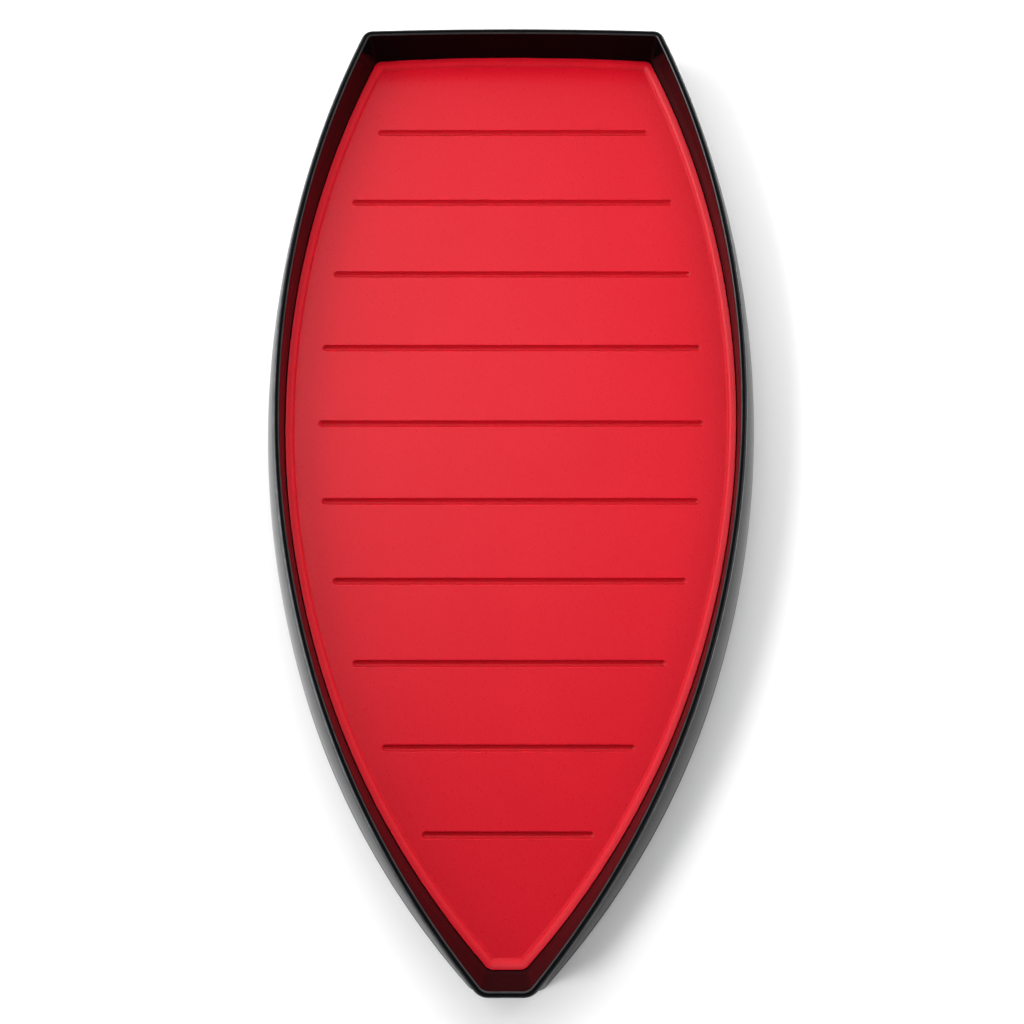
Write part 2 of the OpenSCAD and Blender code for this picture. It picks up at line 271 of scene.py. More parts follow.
def wear_and_highlight(angle):
    """How exposed a point of a quarter-round edge is."""
    return math.sin(2 * angle)


def skirt_ring(height, inset=0.0, edge=0.0, polish=0.0):
    share = max(height - FOOT_Z, 0) / (RIM_Z - FOOT_Z)
    return Ring(LOWER, UPPER, share ** SKIRT_CURVE, inset, height, edge, polish, 0.0, 0.0)


def wall_ring(height, inset=0.0, edge=0.0, lines=(FLOOR, RIM_INSIDE), gleam=WALL_GLEAM):
    share = (height - FLOOR_Z) / (RIM_Z - FLOOR_Z)
    return Ring(*lines, share, inset, height, edge, 0.0, gleam, 0.0)


def skirt_polish(height):
    """Polish of the skirt, which is lessened along the foot as painted shade and is dull again towards the
    rim.
    """
    share = (height - FOOT_Z) / (RIM_Z - FOOT_Z)
    return min(share / SHADED_FOOT_SHARE, 1) * (1 - DULL_TOP * share)


def keel(ring):
    """The same ring drawn together on the middle line, which closes a flat face."""
    return ring._replace(to_keel=1.0)


def hull_section():
    """From the middle of the underside out round the hollow skirt, over the rim and down to the floor."""
    underside = wall_ring(FLOOR_UNDER_Z, -WALL_T)
    rings = [keel(underside), underside, wall_ring(CORE_Z, -WALL_T)]
    rings += [skirt_ring(z, SKIRT_T) for z in between(CORE_Z, FOOT_Z, WALL_STEPS)]
    rings += [skirt_ring(FOOT_Z + EDGE_R * (1 - math.cos(a)), EDGE_R * (1 - math.sin(a))) for a in quarter]
    skirt_heights = between(FOOT_Z + EDGE_R, RIM_Z - RIM_OUTER_R, SKIRT_STEPS)[1:-1]
    rings += [skirt_ring(z, polish=skirt_polish(z)) for z in skirt_heights]
    # The rim's rounded edges get a lighter edge tint, partly wear and partly a painted highlight, and more
    # sheen.
    rings += [skirt_ring(RIM_Z - RIM_OUTER_R * (1 - math.sin(a)), RIM_OUTER_R * (1 - math.cos(a)),
                         wear_and_highlight(a), skirt_polish(RIM_Z) * math.cos(a) + RIM_EDGE_POLISH * wear_and_highlight(a))
              for a in quarter]
    rings += [wall_ring(RIM_Z - EDGE_R * (1 - math.cos(a)), -EDGE_R * (1 - math.sin(a)), wear_and_highlight(a),
                        gleam=math.sin(a) * WALL_GLEAM + wear_and_highlight(a) * RIM_EDGE_GLEAM) for a in quarter]
    rings += [wall_ring(z) for z in between(RIM_Z - EDGE_R, FLOOR_Z, WALL_STEPS)[1:]]
    return rings + [keel(rings[-1])]


# The lip's sloping top ends at a height and an inset. Its inner edge then rounds over to the cove's slope,
# which follows from how far the centre of the cove lies above the centre of that rounding.
lip_end_z = LIP_Z - LIP_TOP_W * math.tan(LIP_SLOPE)
lip_in = BOARD_EDGE_R + LIP_TOP_W
centre_rise = LIP_ROUND_R * math.cos(LIP_SLOPE) + COVE_R - lip_end_z + DECK_Z
cove_a = math.acos(centre_rise / (LIP_ROUND_R + COVE_R))
deck_in = lip_in + (LIP_ROUND_R + COVE_R) * math.sin(cove_a) - LIP_ROUND_R * math.sin(LIP_SLOPE)


def board_ring(height, inset, edge=0.0):
    return wall_ring(height, inset, edge, (LOWER, UPPER))


def board_section():
    """From the middle of the underside out round the edge, over the rounded lip and its cove to the deck."""
    edge_r = BOARD_EDGE_R
    rings = [keel(board_ring(FLOOR_Z, edge_r))]
    rings += [board_ring(FLOOR_Z + edge_r * (1 - math.cos(a)), edge_r * (1 - math.sin(a))) for a in quarter]
    # The board's top edge and the lip's rounding get a lighter edge tint: a painted highlight along the lip,
    # with some wear.
    rings += [board_ring(LIP_Z - edge_r * (1 - math.sin(a)), edge_r * (1 - math.cos(a)), wear_and_highlight(a))
              for a in quarter]
    rings += [board_ring(lip_end_z - LIP_ROUND_R * (math.cos(LIP_SLOPE) - math.cos(a)),
                         lip_in + LIP_ROUND_R * (math.sin(a) - math.sin(LIP_SLOPE)),
                         wear_and_highlight(a * math.pi / 2 / cove_a)) for a in between(LIP_SLOPE, cove_a, COVE_STEPS)]
    rings += [board_ring(DECK_Z + COVE_R * (1 - math.cos(a)), deck_in - COVE_R * math.sin(a))
              for a in between(cove_a, 0, COVE_STEPS)[1:]]
    return rings + [board_ring(DECK_Z, deck_in + COLLAR)]


# Node trees

def add(tree, kind, inputs=None, **settings):
    """A new node. Each input takes a value, a socket, a node for its first output, or a list of those."""
    node = tree.nodes.new(kind)
    for name, value in settings.items():
        setattr(node, name, value)
    for key, value in (inputs or {}).items():
        socket = node.inputs[key] if isinstance(key, int) else next(
            s for s in node.inputs if s.name == key and s.enabled)
        for source in value if isinstance(value, list) else [value]:
            if isinstance(source, bpy.types.Node):
                source = next(s for s in source.outputs if s.enabled)
            if isinstance(source, bpy.types.NodeSocket):
                tree.links.new(source, socket)
            else:
                socket.default_value = source
    return node


def new_tree(name, kind, inputs, outputs):
    """An empty node tree with named sockets, and its two ends."""
    tree = bpy.data.node_groups.new(name, kind)
    for in_out, sockets in (("INPUT", inputs), ("OUTPUT", outputs)):
        for socket, socket_type in sockets.items():
            tree.interface.new_socket(socket, in_out=in_out, socket_type=socket_type)
    return tree, tree.nodes.new("NodeGroupInput").outputs, tree.nodes.new("NodeGroupOutput").inputs


def named(tree, attribute, data_type):
    return add(tree, "GeometryNodeInputNamedAttribute", {"Name": attribute}, data_type=data_type)


def sample(tree, geometry, value, index, data_type):
    return add(tree, "GeometryNodeSampleIndex", {"Geometry": geometry, "Value": value, "Index": index},
               data_type=data_type)


def store(tree, geometry, attribute, value):
    return add(tree, "GeometryNodeStoreNamedAttribute",
               {"Geometry": geometry, "Name": attribute, "Value": value}, data_type="FLOAT")


def mix_points(tree, start, end, share):
    """start + (end - start) * share, for vectors."""
    step = add(tree, "ShaderNodeVectorMath", {0: end, 1: start}, operation="SUBTRACT")
    return add(tree, "ShaderNodeVectorMath", {0: step, 1: share, 2: start}, operation="MULTIPLY_ADD")


LOFT_INPUTS = {"Lines": "NodeSocketGeometry", "Section": "NodeSocketObject",
               "Points Around": "NodeSocketInt", "Rings": "NodeSocketInt", "Weld": "NodeSocketFloat"}


def ring_loft_tree():
    """A skin of rings over level lines. Each point of the section says which lines its ring is between."""
    tree, given, result = new_tree("ring_loft", "GeometryNodeTree", LOFT_INPUTS,
                                   {"Skin": "NodeSocketGeometry"})
    around, rings = given["Points Around"], given["Rings"]
    section = add(tree, "GeometryNodeObjectInfo", {"Object": given["Section"]}).outputs["Geometry"]
    columns = add(tree, "FunctionNodeIntegerMath", {0: around, 1: 1}, operation="ADD")
    grid = add(tree, "GeometryNodeMeshGrid", {"Vertices X": columns, "Vertices Y": rings})
    index = add(tree, "GeometryNodeInputIndex")
    column = add(tree, "FunctionNodeIntegerMath", {0: index, 1: rings}, operation="DIVIDE_FLOOR")
    column = add(tree, "FunctionNodeIntegerMath", {0: column, 1: around}, operation="MODULO")
    row = add(tree, "FunctionNodeIntegerMath", {0: index, 1: rings}, operation="MODULO")

    def of_ring(attribute, data_type="FLOAT"):
        return sample(tree, section, named(tree, attribute, data_type), row, data_type)

    def of_line(attribute_node, line):
        point = add(tree, "FunctionNodeIntegerMath", {0: line, 1: around, 2: column},
                    operation="MULTIPLY_ADD")
        return sample(tree, given["Lines"], attribute_node, point, "FLOAT_VECTOR")

    from_line, to_line = of_ring("from_line", "INT"), of_ring("to_line", "INT")
    share = of_ring("share")
    position = add(tree, "GeometryNodeInputPosition")
    inward = named(tree, "inward", "FLOAT_VECTOR")
    level = mix_points(tree, of_line(position, from_line), of_line(position, to_line), share)
    inward = mix_points(tree, of_line(inward, from_line), of_line(inward, to_line), share)
    level = add(tree, "ShaderNodeVectorMath", {0: inward, 1: of_ring("inset"), 2: level},
                operation="MULTIPLY_ADD")
    place = add(tree, "ShaderNodeSeparateXYZ", {"Vector": level}).outputs
    off_keel = add(tree, "ShaderNodeMath", {0: 1.0, 1: of_ring("to_keel")}, operation="SUBTRACT")
    width = add(tree, "ShaderNodeMath", {0: place["X"], 1: off_keel}, operation="MULTIPLY")
    place = add(tree, "ShaderNodeCombineXYZ", {"X": width, "Y": place["Y"], "Z": of_ring("height")})
    marked = grid
    for finish in FINISHES:
        marked = store(tree, marked, finish, of_ring(finish))
    skin = add(tree, "GeometryNodeSetPosition", {"Geometry": marked, "Position": place})
    welded = add(tree, "GeometryNodeMergeByDistance", {"Geometry": skin, "Distance": given["Weld"]})
    smooth = add(tree, "GeometryNodeSetShadeSmooth", {"Geometry": welded})
    tree.links.new(smooth.outputs["Geometry"], result["Skin"])
    return tree


def finished(tree, geometry, material, result):
    """Ends a tree: instances made real, and the material set."""
    real = add(tree, "GeometryNodeRealizeInstances", {"Geometry": geometry})
    painted = add(tree, "GeometryNodeSetMaterial", {"Geometry": real, "Material": material})
    tree.links.new(painted.outputs["Geometry"], result)


def loft_group(tree, loft, given):
    """The loft placed in another tree, fed from that tree's own inputs."""
    return add(tree, "GeometryNodeGroup", {name: given[name] for name in LOFT_INPUTS}, node_tree=loft)


def hull_tree(loft):
    """The hull's skin, joined with a pocketed boss over each pad."""
    tree, given, result = new_tree(
        "moulded_hull", "GeometryNodeTree",
        {**LOFT_INPUTS, "Pad Places": "NodeSocketObject", "Boss": "NodeSocketObject",
         "Material": "NodeSocketMaterial"},
        {"Hull": "NodeSocketGeometry"})
    skin = loft_group(tree, loft, given)
    places = add(tree, "GeometryNodeObjectInfo", {"Object": given["Pad Places"]}).outputs["Geometry"]
    boss = add(tree, "GeometryNodeObjectInfo", {"Object": given["Boss"]}).outputs["Geometry"]
    bosses = add(tree, "GeometryNodeInstanceOnPoints", {"Points": places, "Instance": boss})
    bosses = add(tree, "GeometryNodeRealizeInstances", {"Geometry": bosses})
    joined = add(tree, "GeometryNodeMeshBoolean", {1: [skin, bosses]}, operation="UNION", solver="EXACT")
    nearest = add(tree, "GeometryNodeSampleNearest", {"Geometry": skin}, domain="POINT")
    marked = joined
    for finish in FINISHES:
        value = sample(tree, skin, named(tree, finish, "FLOAT"), nearest, "FLOAT")
        marked = store(tree, marked, finish, value)
    finished(tree, marked, given["Material"], result["Hull"])
    return tree


def groove_tree():
    """A round-ended dish for each groove: one on each point, its two halves drawn apart by the reach."""
    tree, given, result = new_tree(
        "plank_grooves", "GeometryNodeTree",
        {"Groove Places": "NodeSocketObject", "Dish": "NodeSocketObject", "Weld": "NodeSocketFloat"},
        {"Grooves": "NodeSocketGeometry"})
    places = add(tree, "GeometryNodeObjectInfo", {"Object": given["Groove Places"]}).outputs["Geometry"]
    dish = add(tree, "GeometryNodeObjectInfo", {"Object": given["Dish"]}).outputs["Geometry"]
    dishes = add(tree, "GeometryNodeInstanceOnPoints", {"Points": places, "Instance": dish})
    dishes = add(tree, "GeometryNodeRealizeInstances", {"Geometry": dishes})
    apart = add(tree, "ShaderNodeMath", {0: named(tree, "side", "FLOAT"), 1: named(tree, "reach", "FLOAT")},
                operation="MULTIPLY")
    apart = add(tree, "ShaderNodeCombineXYZ", {"X": apart})
    drawn = add(tree, "GeometryNodeSetPosition", {"Geometry": dishes, "Offset": apart})
    welded = add(tree, "GeometryNodeMergeByDistance", {"Geometry": drawn, "Distance": given["Weld"]})
    tree.links.new(welded.outputs["Geometry"], result["Grooves"])
    return tree


def board_tree(loft, grooves):
    """The board's edge and lip, its grooves, and the flat deck filled in between them."""
    tree, given, result = new_tree(
        "deck_board", "GeometryNodeTree",
        {**LOFT_INPUTS, "Groove Places": "NodeSocketObject", "Dish": "NodeSocketObject",
         "Deck Height": "NodeSocketFloat", "Material": "NodeSocketMaterial"},
        {"Board": "NodeSocketGeometry"})
    lip = loft_group(tree, loft, given)
    dishes = add(tree, "GeometryNodeGroup",
                 {name: given[name] for name in ("Groove Places", "Dish", "Weld")}, node_tree=grooves)
    shaped = add(tree, "GeometryNodeJoinGeometry", {"Geometry": [lip, dishes]})
    faces = add(tree, "GeometryNodeInputMeshEdgeNeighbors")
    open_edge = add(tree, "FunctionNodeCompare", {2: faces, 3: 1}, data_type="INT", operation="EQUAL")
    loops = add(tree, "GeometryNodeMeshToCurve", {"Mesh": shaped, "Selection": open_edge})
    deck = add(tree, "GeometryNodeFillCurve", {"Curve": loops}, mode="TRIANGLES")
    height = add(tree, "ShaderNodeCombineXYZ", {"Z": given["Deck Height"]})
    deck = add(tree, "GeometryNodeSetPosition", {"Geometry": deck, "Offset": height})
    whole = add(tree, "GeometryNodeJoinGeometry", {"Geometry": [shaped, deck]})
    welded = add(tree, "GeometryNodeMergeByDistance", {"Geometry": whole, "Distance": given["Weld"]})
    smooth = add(tree, "GeometryNodeSetShadeSmooth", {"Geometry": welded})
    finished(tree, smooth, given["Material"], result["Board"])
    return tree


def pads_tree():
    """One pad on each place."""
    tree, given, result = new_tree(
        "pads", "GeometryNodeTree",
        {"Places": "NodeSocketGeometry", "Pad": "NodeSocketObject", "Material": "NodeSocketMaterial"},
        {"Pads": "NodeSocketGeometry"})
    pad = add(tree, "GeometryNodeObjectInfo", {"Object": given["Pad"]}).outputs["Geometry"]
    pads = add(tree, "GeometryNodeInstanceOnPoints", {"Points": given["Places"], "Instance": pad})
    finished(tree, pads, given["Material"], result["Pads"])
    return tree


# Helper shapes

def link(name, mesh):
    made = bpy.data.objects.new(name, mesh)
    bpy.context.scene.collection.objects.link(made)
    return made


def set_values(mesh, **attributes):
    """Puts named values on a mesh's points. A value's first entry decides its type."""
    for attribute, values in attributes.items():
        first = values[0]
        if isinstance(first, Vector):
            layer = mesh.attributes.new(attribute, "FLOAT_VECTOR", "POINT")
            layer.data.foreach_set("vector", [x for v in values for x in v])
        else:
            layer = mesh.attributes.new(attribute, "INT" if isinstance(first, int) else "FLOAT", "POINT")
            layer.data.foreach_set("value", values)


def point_cloud(name, points, **attributes):
    """A mesh of loose points with named values on each."""
    mesh = bpy.data.meshes.new(name)
    mesh.from_pydata([tuple(p) for p in points], [], [])
    set_values(mesh, **attributes)
    return mesh


def lines_mesh(name, lines):
    """Points of each line in turn, with the way that each goes for one unit of inset."""
    points, inward = [], []
    for outline, base, depth in lines:
        for outer, inner in zip(outline.points(base), outline.points(base + depth)):
            points.append(outer.to_3d())
            inward.append(((inner - outer) / depth).to_3d())
    return point_cloud(name, points, inward=inward)


def section_object(name, rings):
    """One point for each ring of a section, with the ring's values on it."""
    values = {field: [getattr(ring, field) for ring in rings] for field in Ring._fields}
    return link(name, point_cloud(name, [Vector()] * len(rings), **values))


def turned_mesh(name, profile, angles):
    """A profile of (radius, height) points turned through angles."""
    mesh = bpy.data.meshes.new(name)
    count = len(angles)
    points = [(r * math.cos(a), r * math.sin(a), z) for r, z in profile for a in angles]
    faces = []
    for ring in range(len(profile) - 1):
        for i in range(count):
            after = (i + 1) % count
            start, inner = ring * count, (ring + 1) * count
            faces.append((start + i, start + after, inner + after, inner + i))
    mesh.from_pydata(points, [], faces)
    return mesh


def full_turn():
    return [2 * math.pi * i / TURN_STEPS for i in range(TURN_STEPS)]


def rounded(corner, radius, start, steps=EDGE_STEPS):
    """A quarter circle in a profile, about its own centre, turning anticlockwise from an angle."""
    r, z = corner
    return [(r + radius * math.cos(start + a), z + radius * math.sin(start + a)) for a in between(
        0, math.pi / 2, steps)]


def pad_mesh():
    """A round pad with a rolled lower edge, closed at its top and its underside."""
    lower = rounded((PAD_R - PAD_EDGE_R, PAD_EDGE_R), PAD_EDGE_R, -math.pi / 2)
    return closed_turning("pad", [(0, 0)] + lower + [(PAD_R, PAD_TOP), (0, PAD_TOP)])


def boss_mesh():
    """A cup that hangs from the hull floor, open below for the pad."""
    outer_r = PAD_R + PAD_GAP + BOSS_T
    pocket_r = PAD_R + PAD_GAP
    edge = BOSS_EDGE_R
    inner = rounded((pocket_r + edge, FOOT_Z + edge), edge, math.pi)
    outer = rounded((outer_r - edge, FOOT_Z + edge), edge, -math.pi / 2)
    root = FLOOR_UNDER_Z + BOSS_ROOT
    return closed_turning("boss", [(0, PAD_TOP), (pocket_r, PAD_TOP)] + inner + outer
                          + [(outer_r, root), (0, root)])


def closed_turning(name, profile):
    mesh = turned_mesh(name, profile, full_turn())
    tidy_mesh(mesh)
    return mesh


def dish_mesh():
    """Section of a groove turned into a dish, in two halves that share no points."""
    round_r = arc_radius(GROOVE_D, GROOVE_W / 2)
    centre_z = round_r - GROOVE_D
    tangent = math.acos((centre_z + GROOVE_EDGE_R) / (round_r + GROOVE_EDGE_R))
    edge_x = (round_r + GROOVE_EDGE_R) * math.sin(tangent)
    profile = [(edge_x + COLLAR, 0)]
    profile += [(edge_x - GROOVE_EDGE_R * math.sin(a), GROOVE_EDGE_R * (math.cos(a) - 1))
                for a in between(0, tangent, EDGE_STEPS)]
    profile += [(round_r * math.sin(a), centre_z - round_r * math.cos(a))
                for a in between(tangent, 0, EDGE_STEPS)[1:]]
    half = between(-math.pi / 2, math.pi / 2, DISH_STEPS)
    mesh = turned_mesh("dish", profile, half + [a + math.pi for a in half])
    sides = [1.0] * len(half) + [-1.0] * len(half)
    # A point's depth share, by which the groove's colour is darkened towards its bottom as painted shade.
    depths = [-z / GROOVE_D for r, z in profile for side in sides]
    set_values(mesh, side=sides * len(profile), recess=depths)
    return mesh


def groove_places():
    """Middles of the grooves on the deck, and how far each reaches to the side."""
    stern_y = floor_outline.aft - DECK_GAP
    half_beam = floor_outline.half_beam - DECK_GAP - GROOVE_INSET
    arc_r = arc_radius(half_beam - GROOVE_LEAST / 2, floor_outline.fore - DECK_GAP - GROOVE_BOW_MARGIN)
    places, reaches = [], []
    for i in range(GROOVES):
        y = stern_y - GROOVE_FIRST - i * GROOVE_PITCH
        if y >= 0:
            end = floor_outline.half_width(DECK_GAP + GROOVE_INSET, y)
        else:
            end = half_beam - arc_r + math.sqrt(arc_r ** 2 - y ** 2)
        places.append(Vector((0, y + WIDEST_Y, DECK_Z)))
        reaches.append(end - GROOVE_W / 2)
    return link("groove_places", point_cloud("groove_places", places, reach=reaches))


def pad_places():
    """Where the solids' pads stand on the table."""
    places = []
    for name in PADS:
        low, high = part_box(name)
        places.append(Vector(((low.x + high.x) / 2, (low.y + high.y) / 2, 0)))
    return point_cloud("pad_places", places)


# Making pieces

def tidy_mesh(mesh):
    """Welds a closed mesh, turns its faces outward and marks its sharp edges."""
    work = bmesh.new()
    work.from_mesh(mesh)
    bmesh.ops.remove_doubles(work, verts=work.verts, dist=WELD)
    bmesh.ops.dissolve_degenerate(work, edges=work.edges, dist=SLIVER)
    bmesh.ops.recalc_face_normals(work, faces=work.faces)
    work.to_mesh(mesh)
    work.free()
    mesh.shade_smooth()
    mesh.set_sharp_from_angle(angle=SHARP_ANGLE)


def made_by(tree, name, base, **values):
    """A piece whose mesh a node tree makes from a base mesh and named inputs, as a plain mesh."""
    piece = link(name, base)
    rule = piece.modifiers.new("rule", "NODES")
    rule.node_group = tree
    for item in tree.interface.items_tree:
        key = item.name.lower().replace(" ", "_")
        if item.in_out == "INPUT" and key in values:
            rule[item.identifier] = values[key]
    graph = bpy.context.evaluated_depsgraph_get()
    mesh = bpy.data.meshes.new_from_object(piece.evaluated_get(graph), depsgraph=graph)
    piece.modifiers.remove(rule)
    piece.data = mesh
    mesh.name = name
    tidy_mesh(mesh)
    return piece


def discard(*objects):
    for made in objects:
        bpy.data.objects.remove(made)


def loft_values(lines, line_count, rings):
    return {"points_around": len(lines.vertices) // line_count, "rings": len(rings), "weld": WELD}


def make_hull(loft, material):
    level_lines = [(foot_outline, 0, SKIRT_T), (rim_outline, 0, WALL_T),
                   (floor_outline, 0, -WALL_T), (rim_outline, WALL_T, -WALL_T)]
    lines = lines_mesh("hull_lines", level_lines)
    rings = hull_section()
    helpers = [section_object("hull_section", rings), link("pad_places", pad_places()),
               link("boss", boss_mesh())]
    section, places, boss = helpers
    hull = made_by(hull_tree(loft), "tray_hull", lines, section=section, pad_places=places, boss=boss,
                   material=material, **loft_values(lines, len(level_lines), rings))
    discard(*helpers)
    return hull


def make_deck(loft, material):
    level_lines = [(floor_outline, DECK_GAP, deck_in), (rim_outline, WALL_T + DECK_GAP, deck_in)]
    lines = lines_mesh("board_lines", level_lines)
    rings = board_section()
    helpers = [section_object("board_section", rings), groove_places(), link("dish", dish_mesh())]
    section, places, dish = helpers
    deck = made_by(board_tree(loft, groove_tree()), "tray_deck", lines, section=section,
                   groove_places=places, dish=dish, deck_height=DECK_Z, material=material,
                   **loft_values(lines, len(level_lines), rings))
    discard(*helpers)
    return deck


def make_pads(material):
    pad = link("pad", pad_mesh())
    pads = made_by(pads_tree(), "tray_pads", pad_places(), pad=pad, material=material)
    discard(pad)
    return pads


# Materials

GRAIN_DETAIL = 3.0
GRAIN_ROUGHNESS = 0.55
DRIFT_DETAIL = 4.0
DRIFT_ROUGHNESS = 0.6
EDGE_MASK_DETAIL = 5.0
EDGE_MASK_ROUGHNESS = 0.65
LEAST_EDGE_MASK = 0.6
# The band of a noise's values that is stretched over a whole range
NOISE_LOW = 0.3
NOISE_HIGH = 0.7
# The hull's sheen, and the edge tint that goes with it, fades between these places from the sides to the
# bow: painted shade for the darker light round the bow.
FULL_SHEEN_Y = -60 * MM
SHADED_BOW_Y = -172 * MM


def moulded_grain_group():
    """Fine moulded grain as a height, and slow drifts of tone over a surface as a mask."""
    tree, given, result = new_tree(
        "moulded_grain", "ShaderNodeTree",
        {"Grain Scale": "NodeSocketFloat", "Drift Scale": "NodeSocketFloat"},
        {"Height": "NodeSocketFloat", "Drift": "NodeSocketFloat"})
    place = add(tree, "ShaderNodeTexCoord").outputs["Object"]
    grain = add(tree, "ShaderNodeTexNoise", {"Vector": place, "Scale": given["Grain Scale"],
                                             "Detail": GRAIN_DETAIL, "Roughness": GRAIN_ROUGHNESS})
    drift = add(tree, "ShaderNodeTexNoise", {"Vector": place, "Scale": given["Drift Scale"],
                                             "Detail": DRIFT_DETAIL, "Roughness": DRIFT_ROUGHNESS})
    drift = add(tree, "ShaderNodeMapRange", {"Value": drift, "From Min": NOISE_LOW, "From Max": NOISE_HIGH})
    tree.links.new(grain.outputs[0], result["Height"])
    tree.links.new(drift.outputs[0], result["Drift"])
    return tree


def edge_wear_and_highlight_group():
    """Where the edge attribute marks a rounded edge, broken up by noise."""
    tree, given, result = new_tree(
        "edge_wear", "ShaderNodeTree", {"Edge": "NodeSocketFloat", "Break Up Scale": "NodeSocketFloat"},
        {"Mask": "NodeSocketFloat"})
    place = add(tree, "ShaderNodeTexCoord").outputs["Object"]
    noise = add(tree, "ShaderNodeTexNoise", {"Vector": place, "Scale": given["Break Up Scale"],
                                             "Detail": EDGE_MASK_DETAIL, "Roughness": EDGE_MASK_ROUGHNESS})
    noise = add(tree, "ShaderNodeMapRange", {"Value": noise, "From Min": NOISE_LOW, "From Max": NOISE_HIGH,
                                             "To Min": LEAST_EDGE_MASK, "To Max": 1.0})
    mask = add(tree, "ShaderNodeMath", {0: noise, 1: given["Edge"]}, operation="MULTIPLY")
    tree.links.new(mask.outputs[0], result["Mask"])
    return tree


def mixed(tree, share, start, end):
    return add(tree, "ShaderNodeMix", {"Factor": share, "A": start, "B": end}, data_type="RGBA")


def moulded_material(name, grain_group, wear_and_highlight_group, look):
    """A moulded plastic or rubber: a tone that drifts, edges tinted lighter partly for wear and partly as a
    painted highlight, and a fine grain in gloss and relief.

    A polished piece has a sheen too, from its points' polish and gleam. It is a metallic share over a dark
    tone, which shines at a slant and stays dark seen square on.
    """
    material = bpy.data.materials.new(name)
    material.use_nodes = True
    tree = material.node_tree
    shader = tree.nodes["Principled BSDF"]
    grain = add(tree, "ShaderNodeGroup", {"Grain Scale": look["grain"], "Drift Scale": look["drift"]},
                node_tree=grain_group).outputs
    edge = add(tree, "ShaderNodeAttribute", attribute_name="edge").outputs["Fac"]
    wear_and_highlight_weight = add(tree, "ShaderNodeGroup", {"Edge": edge, "Break Up Scale": look["break_up"]},
               node_tree=wear_and_highlight_group)
    tone = mixed(tree, grain["Drift"], look["deep"], look["tone"])
    wear_and_highlight_share = add(tree, "ShaderNodeMath", {0: wear_and_highlight_weight, 1: look["wear_and_highlight_weight"]}, operation="MULTIPLY")
    if look["polish"]:
        polish = add(tree, "ShaderNodeAttribute", attribute_name="polish").outputs["Fac"]
        gleam = add(tree, "ShaderNodeAttribute", attribute_name="gleam").outputs["Fac"]
        # The sheen is lessened towards the bow as painted shade.
        place = add(tree, "ShaderNodeTexCoord").outputs["Object"]
        to_stern = add(tree, "ShaderNodeSeparateXYZ", {"Vector": place}).outputs["Y"]
        kept = add(tree, "ShaderNodeMapRange", {"Value": to_stern, "From Min": SHADED_BOW_Y,
                                                "From Max": FULL_SHEEN_Y,
                                                "To Min": look["bow_polish"], "To Max": look["polish"]})
        sheen = add(tree, "ShaderNodeMath", {0: polish, 1: kept, 2: gleam}, operation="MULTIPLY_ADD",
                    use_clamp=True)
        wear_and_highlight_share = add(tree, "ShaderNodeMath", {0: wear_and_highlight_share, 1: sheen}, operation="MULTIPLY")
        tree.links.new(sheen.outputs[0], shader.inputs["Metallic"])
    # Rounded edges are tinted lighter, partly as wear and partly as a painted highlight; on the hull the
    # tint goes with the sheen.
    colour = mixed(tree, wear_and_highlight_share, tone, look["wear_and_highlight"])
    # Grooves are darkened towards their bottom by their depth share: painted shade.
    recess = add(tree, "ShaderNodeAttribute", attribute_name="recess").outputs["Fac"]
    recess = add(tree, "ShaderNodeMath", {0: recess, 1: look["recess"]}, operation="MULTIPLY")
    colour = mixed(tree, recess, colour, look["painted_shade"])
    rough = add(tree, "ShaderNodeMapRange", {"Value": grain["Height"], "From Min": NOISE_LOW,
                                             "From Max": NOISE_HIGH,
                                             "To Min": look["smooth"], "To Max": look["rough"]})
    relief = add(tree, "ShaderNodeBump", {"Height": grain["Height"], "Strength": look["relief"],
                                          "Distance": look["relief_depth"]})
    tree.links.new(next(s for s in colour.outputs if s.enabled), shader.inputs["Base Color"])
    tree.links.new(rough.outputs["Result"], shader.inputs["Roughness"])
    tree.links.new(relief.outputs["Normal"], shader.inputs["Normal"])
    shader.inputs["Specular IOR Level"].default_value = look["specular"]
    return material


# Each look's edge colour is partly wear and partly a painted highlight on the rims and the lip; its groove
# colour is painted shade in the grooves' bottoms.
HULL_LOOK = {
    "tone": (0.0062, 0.0063, 0.0072, 1), "deep": (0.0042, 0.0042, 0.0050, 1),
    "wear_and_highlight": (0.20, 0.205, 0.21, 1), "painted_shade": (0.004, 0.004, 0.005, 1),
    "recess": 0.5, "wear_and_highlight_weight": 0.9, "grain": 2600, "drift": 30, "break_up": 300,
    "smooth": 0.12, "rough": 0.2, "relief": 0.12, "relief_depth": 0.04 * MM,
    "specular": 0.0, "polish": 1.0, "bow_polish": 0.6,
}
DECK_LOOK = {
    "tone": (0.74, 0.008, 0.0225, 1), "deep": (0.71, 0.006, 0.0195, 1),
    "wear_and_highlight": (0.85, 0.012, 0.026, 1), "painted_shade": (0.42, 0.002, 0.006, 1),
    "recess": 0.7, "wear_and_highlight_weight": 0.8, "grain": 2200, "drift": 22, "break_up": 260,
    "smooth": 0.26, "rough": 0.36, "relief": 0.15, "relief_depth": 0.05 * MM,
    "specular": 0.5, "polish": 0,
}
PAD_LOOK = {
    "tone": (0.030, 0.030, 0.032, 1), "deep": (0.020, 0.020, 0.022, 1),
    "wear_and_highlight": (0.06, 0.06, 0.062, 1), "painted_shade": (0.02, 0.02, 0.02, 1),
    "recess": 0.5, "wear_and_highlight_weight": 0.4, "grain": 1500, "drift": 120, "break_up": 500,
    "smooth": 0.7, "rough": 0.9, "relief": 0.3, "relief_depth": 0.1 * MM,
    "specular": 0.3, "polish": 0,
}


# Stage: camera, light and floor

